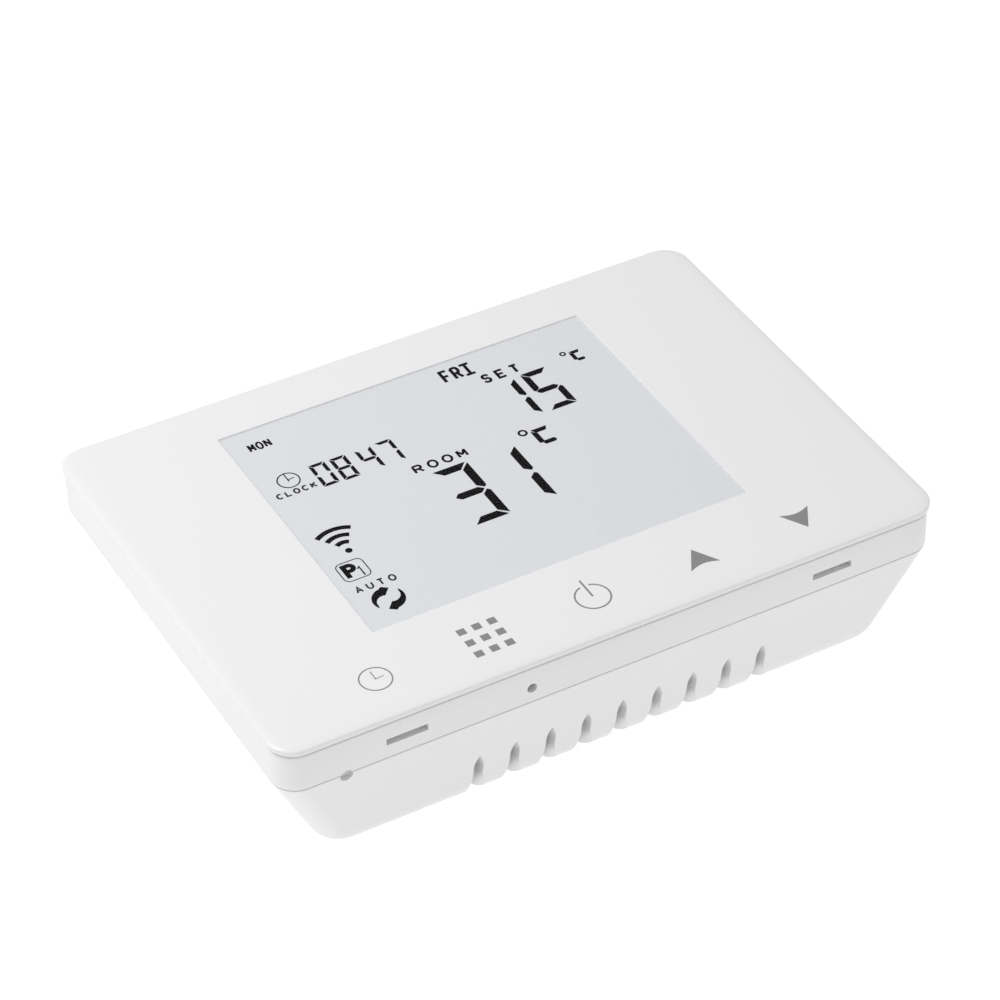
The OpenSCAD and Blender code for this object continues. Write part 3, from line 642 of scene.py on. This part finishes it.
# ---------------------------------------------------------------- front housing
WALL = 2.0
DECK = 1.5
DECK_ROOM = 0.02
GAP_H = 0.75
GAP_D = 0.3
WALL_DRAW = 0.005
FRAME_ROOM = 0.5
DECK_OPENING_R = 0.5
SLOTS_X = [(low.x + high.x) / 2 for low, high in (span("latch_tongue_left"), span("latch_tongue_right"))]
SLOT_W = 7.9
SLOT_H = 1.35
SLOT_Z = FACE_Z - 6
RESET_X = -17.4
RESET_Z = SLOT_Z - 0.4
RESET_R = 0.95
NOTCH_X = -52.8
NOTCH_R = 1.2
NOTCH_Z = SEAM_Z - 0.45
NOTCH_DEPTH = 1.2
FRONT_WALL_Y = -BODY_H / 2
HOOK_X = 35.0
HOOK_W = 10.0
HOOK_Z = 17.4
HOOK_OUT = 0.8
HOOK_IN = 2.2
HOOK_REACH = 1.7
HOOK_NOSE_H = 1.0
HOOK_WEB_START = 2.0
OVERLAP = 0.2
SLIVER = 0.005
BOSSES = [(x, y) for x in (-54.0, 54.0) for y in (-35.0, 35.0)]
BOSS_R = 3.0
BOSS_PILOT_DEPTH = 4.0
BOARD_TOP = span("control_pcb")[1].z
SPRING_HOLE_R = 3.6
KEY_PITCH = 21.0
KEY_Y = -36.2
KEYS = range(-2, 3)


def housing_ring(z, inset):
    """The housings' outline at the seam, drawn in by an inset."""
    return outline(BODY_W - 2 * inset, BODY_H - 2 * inset, max(HOUSING_R_LEAST, BODY_R - inset), z)


def add_hook(bm, x, deck_low):
    """A hook behind the top wall: tab, web to the wall and nose, whose side faces share no plane."""
    reach = BODY_H / 2 - WALL
    tab_out, tab_in = reach - HOOK_OUT, reach - HOOK_IN
    half = HOOK_W / 2
    web = half - 2 * SLIVER
    nose = half - SLIVER
    add_box(bm, (x - half, tab_in, HOOK_Z), (x + half, tab_out, deck_low + OVERLAP))
    add_box(bm, (x - web, tab_in + OVERLAP, FRONT_Z + HOOK_WEB_START),
            (x + web, reach + OVERLAP / 2, deck_low + 1.5 * OVERLAP))
    add_box(bm, (x - nose, tab_out - 2 * OVERLAP, HOOK_Z),
            (x + nose, tab_out + HOOK_REACH, HOOK_Z + HOOK_NOSE_H))


def make_front_housing():
    """The shallow front shell: walls, a deck behind the panel, hooks, bosses, slots and the reset hole."""
    deck_top = PANEL_BACK - DECK_ROOM
    deck_low = PANEL_BACK - DECK
    frame_low, frame_high = span("lcd_frame")
    opening_w = frame_high.x - frame_low.x + 2 * FRAME_ROOM
    opening_h = frame_high.y - frame_low.y + 2 * FRAME_ROOM
    opening_y = (frame_high.y + frame_low.y) / 2
    loops = [housing_ring(FRONT_Z, EDGE_SOFT + LIP)]
    for a in quarter():
        loops.append(housing_ring(FRONT_Z + EDGE_SOFT * (1 - math.cos(a)), EDGE_SOFT * (1 - math.sin(a))))
    loops.append(housing_ring(FRONT_Z + EDGE_SOFT + LIP, WALL_DRAW))
    ledge = PANEL_BACK - GAP_H
    ledge_soft = EDGE_SOFT / 2
    for a in quarter():
        loops.append(housing_ring(ledge - ledge_soft * (1 - math.sin(a)), ledge_soft * (1 - math.cos(a))))
    loops += [housing_ring(z, GAP_D) for z in (ledge, deck_top)]
    loops += [outline(opening_w, opening_h, DECK_OPENING_R, z, y=opening_y) for z in (deck_top, deck_low)]
    loops += [housing_ring(deck_low, WALL), housing_ring(FRONT_Z, WALL)]
    shell = as_object("front_shell", sweep(loops, closed=True))

    added = bmesh.new()
    for x in (-HOOK_X, HOOK_X):
        add_hook(added, x, deck_low)
    for x, y in BOSSES:
        add_rod(added, (x, y, BOARD_TOP), (x, y, deck_low + 2 * OVERLAP), BOSS_R)
    carve(shell, solid("front_added", added), "UNION")

    cutters = bmesh.new()
    out, through = FRONT_WALL_Y - CUT_PAST, FRONT_WALL_Y + WALL + CUT_PAST_WALL
    for x in SLOTS_X:
        add_box(cutters, (x - SLOT_W / 2, out, SLOT_Z - SLOT_H / 2),
                (x + SLOT_W / 2, through, SLOT_Z + SLOT_H / 2))
    for x, y in BOSSES:
        add_rod(cutters, (x, y, BOARD_TOP - CUT_PAST), (x, y, BOARD_TOP + BOSS_PILOT_DEPTH), PILOT_R)
    for i in KEYS:
        x = i * KEY_PITCH
        add_rod(cutters, (x, KEY_Y, deck_low - CUT_PAST_WALL),
                (x, KEY_Y, deck_top + CUT_PAST_WALL), SPRING_HOLE_R)
    add_rod(cutters, (RESET_X, out, RESET_Z), (RESET_X, through, RESET_Z), RESET_R)
    add_rod(cutters, (NOTCH_X, out, NOTCH_Z), (NOTCH_X, FRONT_WALL_Y + WALL + CUT_PAST, NOTCH_Z), NOTCH_R)
    carve(shell, solid("front_cutters", cutters))
    finish_piece(shell, MATERIALS["housing"], "front_unit", ["front_housing"])


# ---------------------------------------------------------------- rear housing
BACK_W = 109.4
BACK_H = 82.8
BACK_EDGE = 4.0
BACK_EDGE_STEPS = 10
BACK_BORDER = 1.0
FLOOR = 2.0
FLOOR_INSET = WALL + 1
FLOOR_R = 4.0
TUB_R_SHARE = 0.6
TUB_R_LEAST = 1.0
VENT_COUNT = 9
VENT_PITCH = 7.1
VENT_SHIFT = 1.6
VENT_DISC_R = 16.8
VENT_HUB_R = 1.0
VENT_DISC_Y = -50.0
VENT_DISC_Z = -4.0
VENT_DISC_STEPS = 128
VENT_HALF_WIDTH = 0.95
VENT_TIP = 2.6
VENT_FLARE = 0.22
VENT_FLARE_START = 4.0
VENT_REACH = 6.5
VENT_DEPTH_STEPS = 20
WALL_SCREW_X = 30.0
WALL_SCREW_Y = -13.0
SCREW_SLOT_W = 4.2
SCREW_SLOT_L = 9.0
SLOT_END_FLAT = 0.001
WIRE_HOLE_W = 38.0
WIRE_HOLE_H = 13.0
WIRE_HOLE_Y = WALL_SCREW_Y - 1.5
POSTS = [(x, y) for x in (-47.5, 47.5) for y in (-3.0, 34.0)]
POST_R = 2.8
POST_TOP = span("power_pcb")[0].z
POST_PILOT_Z = FLOOR - 0.8
TONGUE_LOW, TONGUE_HIGH = span("latch_tongue_right")
TONGUE_T = 1.2
TONGUE_Y = TONGUE_HIGH.y - TONGUE_T / 2
TONGUE_Z = TONGUE_LOW.z + TONGUE_T / 2
TONGUE_HALF = (TONGUE_HIGH.x - TONGUE_LOW.x) / 2
TONGUE_ROOM = TONGUE_HALF + 0.3
TONGUE_ROOM_OUT = 0.4
TONGUE_ROOM_IN = 2.4
SEAT_R = TONGUE_T / 2 + 0.05
PEDESTAL_HALF = TONGUE_HALF + 0.7
PEDESTAL_DEPTH = 2.2
HOOK_ROOM = 0.5
HOOK_WINDOW_IN = 4.0
HOOK_WINDOW_TOP = 2.4


def tub_size(z):
    """Width and height of the tapered outline at a height above the back."""
    share = max(0.0, z) / RIM_Z
    return BACK_W + (BODY_W - BACK_W) * share, BACK_H + (BODY_H - BACK_H) * share


def tub_ring(z, inset=0.0):
    """The tapered outline of the rear housing at a height, drawn in by an inset."""
    w, h = tub_size(z)
    return outline(w - 2 * inset, h - 2 * inset, max(TUB_R_LEAST, BODY_R - TUB_R_SHARE * inset), z)


def vent_half(depth):
    """Half the width of a vent at a depth inside its rim: a rounded point that flares at the back edge."""
    if depth < VENT_TIP:
        return VENT_HALF_WIDTH * (1 - (1 - depth / VENT_TIP) ** 2)
    return VENT_HALF_WIDTH + VENT_FLARE * max(0.0, depth - VENT_FLARE_START) ** 2


def add_vent(bm, x):
    """The disc that cuts one vent: its axis runs along X and its rim narrows to a rounded point."""
    depths = [VENT_REACH * k / VENT_DEPTH_STEPS for k in range(VENT_DEPTH_STEPS + 1)]
    depths.append(VENT_DISC_R - VENT_HUB_R)
    profile = [(VENT_DISC_R - s, -vent_half(min(s, VENT_REACH))) for s in reversed(depths)]
    profile += [(VENT_DISC_R - s, vent_half(min(s, VENT_REACH))) for s in depths[1:]]
    angles = [2 * math.pi * k / VENT_DISC_STEPS for k in range(VENT_DISC_STEPS)]
    rings = [[bm.verts.new(Vector((x + half, VENT_DISC_Y + radius * math.cos(a),
                                   VENT_DISC_Z + radius * math.sin(a))) * MM) for a in angles]
             for radius, half in profile]
    for low, high in zip(rings, rings[1:]):
        skin(bm, low, high)
    bm.faces.new(rings[0])
    bm.faces.new(list(reversed(rings[-1])))


def add_pedestal(bm, x):
    """The block a release tongue stands on. Its outer side follows the slope inside the wall."""
    corners = []
    for px in (x - PEDESTAL_HALF, x + PEDESTAL_HALF):
        for z in (FLOOR - OVERLAP, TONGUE_Z):
            outer = -tub_size(z)[1] / 2 + WALL / 2
            corners += [(px, outer, z), (px, TONGUE_Y + PEDESTAL_DEPTH, z)]
    add_block(bm, corners)


def make_rear_housing():
    """The tapered wall housing: rounded back edge, vents, screw slots, wiring opening, posts and seats."""
    loops = [tub_ring(0, BACK_EDGE + BACK_BORDER)]
    for a in quarter(BACK_EDGE_STEPS):
        loops.append(tub_ring(BACK_EDGE * (1 - math.cos(a)), BACK_EDGE * (1 - math.sin(a))))
    loops += [tub_ring(BACK_EDGE + BACK_BORDER), tub_ring(RIM_Z - EDGE_SOFT - LIP)]
    for a in quarter():
        loops.append(tub_ring(RIM_Z - EDGE_SOFT * (1 - math.sin(a)), EDGE_SOFT * (1 - math.cos(a))))
    loops += [tub_ring(RIM_Z, EDGE_SOFT + LIP), housing_ring(RIM_Z, WALL)]
    inner_w, inner_h = (size - 2 * FLOOR_INSET for size in tub_size(FLOOR))
    loops.append(outline(inner_w, inner_h, FLOOR_R, FLOOR))
    shell = as_object("rear_shell", sweep(loops))

    added = bmesh.new()
    for x, y in POSTS:
        add_rod(added, (x, y, FLOOR - OVERLAP), (x, y, POST_TOP), POST_R)
    for x in SLOTS_X:
        add_pedestal(added, x)
    carve(shell, solid("rear_added", added), "UNION")

    cutters = bmesh.new()
    for x, y in POSTS:
        add_rod(cutters, (x, y, POST_PILOT_Z), (x, y, POST_TOP + CUT_PAST), PILOT_R)
    for x in SLOTS_X:
        add_rod(cutters, (x - TONGUE_ROOM, TONGUE_Y, TONGUE_Z), (x + TONGUE_ROOM, TONGUE_Y, TONGUE_Z), SEAT_R)
    add_box(cutters, (-WIRE_HOLE_W / 2, WIRE_HOLE_Y - WIRE_HOLE_H / 2, -CUT_PAST),
            (WIRE_HOLE_W / 2, WIRE_HOLE_Y + WIRE_HOLE_H / 2, FLOOR + CUT_PAST))
    window_half = HOOK_W / 2 + HOOK_ROOM
    for x in (-HOOK_X, HOOK_X):
        add_box(cutters, (x - window_half, BODY_H / 2 - HOOK_WINDOW_IN, HOOK_Z - HOOK_ROOM),
                (x + window_half, BODY_H / 2 + 2 * CUT_PAST, HOOK_Z + HOOK_WINDOW_TOP))
    for x in (-WALL_SCREW_X, WALL_SCREW_X):
        slot = outline(SCREW_SLOT_L, SCREW_SLOT_W, SCREW_SLOT_W / 2 - SLOT_END_FLAT, 0, x, WALL_SCREW_Y)
        add_plate(cutters, slot, -CUT_PAST, FLOOR + 2 * CUT_PAST)
    add_rod(cutters, (NOTCH_X, FRONT_WALL_Y - CUT_PAST, NOTCH_Z),
            (NOTCH_X, FRONT_WALL_Y + NOTCH_DEPTH, NOTCH_Z), NOTCH_R)
    carve(shell, solid("rear_cutters", cutters))

    cutters = bmesh.new()
    for x in SLOTS_X:
        add_box(cutters, (x - TONGUE_ROOM, TONGUE_Y - TONGUE_T / 2 - TONGUE_ROOM_OUT, TONGUE_Z),
                (x + TONGUE_ROOM, TONGUE_Y + TONGUE_T / 2 + TONGUE_ROOM_IN, RIM_Z + CUT_PAST))
    for i in range(VENT_COUNT):
        add_vent(cutters, VENT_SHIFT + (i - (VENT_COUNT - 1) / 2) * VENT_PITCH)
    carve(shell, solid("vent_cutters", cutters))
    finish_piece(shell, MATERIALS["housing"], "rear_unit", ["rear_housing"])


# ---------------------------------------------------------------- display and printing
SEGMENT_Z = GLASS_HIGH.z + 0.002
SEGMENT_T = 0.015
DISPLAY_X = 0.2
DISPLAY_Y = 0.37
INK_Z = FACE_Z + 0.001
INK_T = 0.012
PRINT_X = -0.35
TIME_SIZE = (3.15, 6.65, 0.72, 0.16)
# Digits: figure, left, foot, width, height, segment width, gap
DIGITS = [
    ("3", -8.5, -9.6, 7.0, 16.55, 1.72, 0.32),
    ("1", 1.3, -9.6, 6.7, 16.3, 1.7, 0.35),
    ("1", 12.3, 12.2, 5.2, 11.6, 1.28, 0.24),
    ("5", 19.0, 12.0, 5.4, 12.0, 1.32, 0.2),
    ("0", -26.75, 13.15, *TIME_SIZE),
    ("8", -22.7, 12.95, *TIME_SIZE),
    ("4", -17.65, 12.9, *TIME_SIZE),
    ("7", -13.5, 12.9, *TIME_SIZE),
]
# Degree signs: left, foot, width, height, segment width, radius of the ring
DEGREES = [(12.5, 4.05, 3.4, 4.75, 1.05, 0.72), (30.1, 22.35, 2.2, 3.2, 0.78, 0.48)]
# Words: letters, left, right, foot, head, each letter's share of its pitch, stroke
BLACK_WORDS = [
    ("MON", -33.85, -29.2, 28.4, 30.7, 0.95, 0.42),
    ("FRI", 6.05, 12.65, 28.6, 32.4, 0.97, 0.64),
    ("SET", 12.2, 20.3, 24.9, 27.6, 0.74, 0.56),
    ("ROOM", -11.1, 0.05, 8.15, 10.5, 0.76, 0.48),
]
GREY_WORDS = [
    ("CLOCK", -35.55, -27.45, 13.9, 15.5, 0.82, 0.36),
    ("AUTO", -35.1, -27.05, -15.5, -13.7, 0.72, 0.36),
]
RADIO_X, RADIO_Y = -31.05, -4.15
RADIO_DOT_SHIFT = (0.05, -0.3)
RADIO_DOT_R = 0.66
RADIO_STROKE = 1.0
# Radio waves: radius, degrees left and right of the middle
RADIO_WAVES = [(2.15, 35, 33), (4.1, 35, 31), (6.1, 35, 32)]
LETTER_P_X = -34.12
LETTER_P_FOOT = -11.15
LETTER_P_HEAD = -7.5
LETTER_P_STROKE = 0.95
BOWL_X = -33.2
BOWL_Y = -8.73
BOWL_R = 0.75
FIGURE_1 = [(-31.5, -11.65), (-31.5, -9.15), (-31.95, -9.6)]
FIGURE_1_STROKE = 0.3
PROGRAM_BOX = (5.1, 5.05, 1.1, 0, -32.75, -9.5)
PROGRAM_BOX_STROKE = 0.2
CYCLE_X, CYCLE_Y = -30.9, -19.15
CLOCK_X, CLOCK_Y, CLOCK_R = -31.45, 18.05, 2.05
CLOCK_STROKE = 0.26
CLOCK_HANDS = [((-0.05, 1.95), (-0.05, -0.35), 0.24), ((-0.15, 0.15), (1.25, 0.3), 0.2)]
KEY_CLOCK_R = 2.85
KEY_CLOCK_HANDS = [((0, 2.1), (0, -0.1), 0.2), ((-0.1, 0), (1.6, 0.1), 0.18)]
SQUARE_PITCH_X, SQUARE_PITCH_Y = 2.95, 3.15
SQUARE_HALF_W, SQUARE_HALF_H = 0.8, 0.78
POWER_R = 3.15
POWER_STROKE = 0.32
POWER_BAR = 4.7
POWER_BAR_STROKE = 0.36
ARROW_HALF_W, ARROW_HALF_H, ARROW_RISE = 2.95, 2.5, 0.8
ARROW_DROP = 0.35
ARROW_STEPS = 12
# Arrows: shift from the key's middle, direction
UP_ARROW = (-0.1, 1)
DOWN_ARROW = (-0.15, -1)


def shifted(bm, dx, dy):
    """Moves everything drawn so far by dx, dy."""
    for v in bm.verts:
        v.co.x += dx * MM
        v.co.y += dy * MM


def add_cycle(bm, x, y, z, thickness):
    """Two curved arrows that chase each other round a middle point."""
    outer = arc(0, 0, 2.98, 212, 98, 20)
    inner = arc(-0.65, -0.65, 1.76, 84, 188, 16)
    head = [(0.05, 3.35), (1.25, 2.5), (-0.15, 0.95)]
    for sign in (1, -1):
        add_plate(bm, [(x + sign * px, y + sign * py) for px, py in outer + head + inner], z, thickness)


def add_letter_p(bm, z, thickness):
    """The bold P of the program number: its stem and its bowl."""
    top, low = BOWL_Y + BOWL_R, BOWL_Y - BOWL_R
    add_line(bm, [(LETTER_P_X, LETTER_P_FOOT), (LETTER_P_X, LETTER_P_HEAD)], LETTER_P_STROKE, z, thickness)
    bowl = [(LETTER_P_X, top)] + arc(BOWL_X, BOWL_Y, BOWL_R, 90, -90, 14) + [(LETTER_P_X, low)]
    add_line(bm, bowl, LETTER_P_STROKE, z, thickness)


def make_segments():
    """The black parts of the display: digits, words and icons."""
    z, t = SEGMENT_Z, SEGMENT_T
    bm = bmesh.new()
    for digit in DIGITS:
        add_digit(bm, *digit, z, t)
    for degree in DEGREES:
        add_degree_c(bm, *degree, z, t)
    for word in BLACK_WORDS:
        add_word(bm, *word, z, t)
    add_plate(bm, ring(RADIO_X + RADIO_DOT_SHIFT[0], RADIO_Y + RADIO_DOT_SHIFT[1], RADIO_DOT_R, 24), z, t)
    for r, left, right in RADIO_WAVES:
        add_line(bm, arc(RADIO_X, RADIO_Y, r, 90 + left, 90 - right), RADIO_STROKE, z, t)
    add_letter_p(bm, z, t)
    add_line(bm, FIGURE_1, FIGURE_1_STROKE, z, t)
    add_cycle(bm, CYCLE_X, CYCLE_Y, z, t)
    shifted(bm, DISPLAY_X, DISPLAY_Y)
    finish_piece(solid("display_segments", bm), MATERIALS["segment_black"], "front_unit")


def make_fine_icons():
    """The display's thin grey marks: the clock, its word, AUTO and the box round P1."""
    z, t = SEGMENT_Z, SEGMENT_T
    bm = bmesh.new()
    add_clock(bm, CLOCK_X, CLOCK_Y, CLOCK_R, CLOCK_STROKE, CLOCK_HANDS, z, t)
    for word in GREY_WORDS:
        add_word(bm, *word, z, t)
    add_line(bm, [(p.x, p.y) for p in outline(*PROGRAM_BOX)], PROGRAM_BOX_STROKE, z, t, closed=True)
    shifted(bm, DISPLAY_X, DISPLAY_Y)
    finish_piece(solid("display_icons", bm), MATERIALS["icon_grey"], "front_unit")


def make_key_print():
    """The five printed touch symbols: clock, nine squares, power, up and down."""
    z, t = INK_Z, INK_T
    clock, squares, power, up, down = [PRINT_X + i * KEY_PITCH for i in KEYS]
    y = KEY_Y
    bm = bmesh.new()
    add_clock(bm, clock, y, KEY_CLOCK_R, CLOCK_STROKE, KEY_CLOCK_HANDS, z, t)
    for i in (-1, 0, 1):
        for j in (-1, 0, 1):
            cx, cy = squares + SQUARE_PITCH_X * i, y + SQUARE_PITCH_Y * j
            add_plate(bm, [(cx + SQUARE_HALF_W * a, cy + SQUARE_HALF_H * b)
                           for a, b in ((-1, -1), (1, -1), (1, 1), (-1, 1))], z, t)
    add_line(bm, arc(power, y, POWER_R, 105, 435, 48), POWER_STROKE, z, t)
    add_line(bm, [(power, y + POWER_BAR), (power, y)], POWER_BAR_STROKE, z, t)
    middle = y - ARROW_DROP
    for key, (shift, way) in ((up, UP_ARROW), (down, DOWN_ARROW)):
        centre, foot = key + shift, middle - ARROW_HALF_H * way
        curve = [(centre + ARROW_HALF_W * (1 - 2 * k / ARROW_STEPS),
                  foot + way * ARROW_RISE * math.sin(math.pi * k / ARROW_STEPS))
                 for k in range(ARROW_STEPS + 1)]
        add_plate(bm, [(centre, middle + ARROW_HALF_H * way)] + list(reversed(curve)), z, t)
    finish_piece(solid("key_symbols", bm), MATERIALS["print_grey"], "front_unit")


# ---------------------------------------------------------------- stage, in metres
FLOOR_WHITE = (0.3, 0.3, 0.3)
FLOOR_ROUGHNESS = 0.9
FLOOR_GLOW = 0.84
FLOOR_HALF = 6
FLOOR_Z = -0.0002
ROOM_LIGHT = 0.62
PURE_WHITE = (1, 1, 1, 1)
KEY_LIGHT_PLACE = Vector((-0.275, 0.1, 0.43))
KEY_LIGHT_AIM = Vector((0, 0, 0.02))
KEY_LIGHT_SIZE = 0.3
KEY_LIGHT_POWER = 0.93


def make_stage():
    """A plain white floor, one broad light from the upper left and a soft fill."""
    bm = bmesh.new()
    corners = ((-1, -1), (1, -1), (1, 1), (-1, 1))
    bm.faces.new([bm.verts.new((FLOOR_HALF * a, FLOOR_HALF * b, FLOOR_Z)) for a, b in corners])
    floor = as_object("floor", bm)
    material, _, shader = new_material("floor_white")
    shader.inputs["Base Color"].default_value = (*FLOOR_WHITE, 1)
    shader.inputs["Roughness"].default_value = FLOOR_ROUGHNESS
    shader.inputs["Emission Color"].default_value = PURE_WHITE
    shader.inputs["Emission Strength"].default_value = FLOOR_GLOW
    floor.data.materials.append(material)

    world = bpy.data.worlds.new("studio")
    bpy.context.scene.world = world
    world.use_nodes = True
    background = world.node_tree.nodes["Background"]
    background.inputs["Color"].default_value = PURE_WHITE
    background.inputs["Strength"].default_value = ROOM_LIGHT

    light = bpy.data.lights.new("key", "AREA")
    light.size = KEY_LIGHT_SIZE
    light.energy = KEY_LIGHT_POWER
    holder = bpy.data.objects.new("key", light)
    bpy.context.scene.collection.objects.link(holder)
    holder.location = KEY_LIGHT_PLACE
    holder.rotation_euler = (KEY_LIGHT_AIM - KEY_LIGHT_PLACE).to_track_quat("-Z", "Y").to_euler()


# ---------------------------------------------------------------- assembly
def paint_nodes():
    """Gives every CAD node that is still shown the material of its slot."""
    for name, node in frame["nodes"].items():
        node.data.materials.clear()
        node.data.materials.append(MATERIALS[SLOTS[name]])


make_camera()
paint_nodes()
make_panel()
make_window()
make_front_housing()
make_rear_housing()
make_segments()
make_fine_icons()
make_key_print()
make_stage()
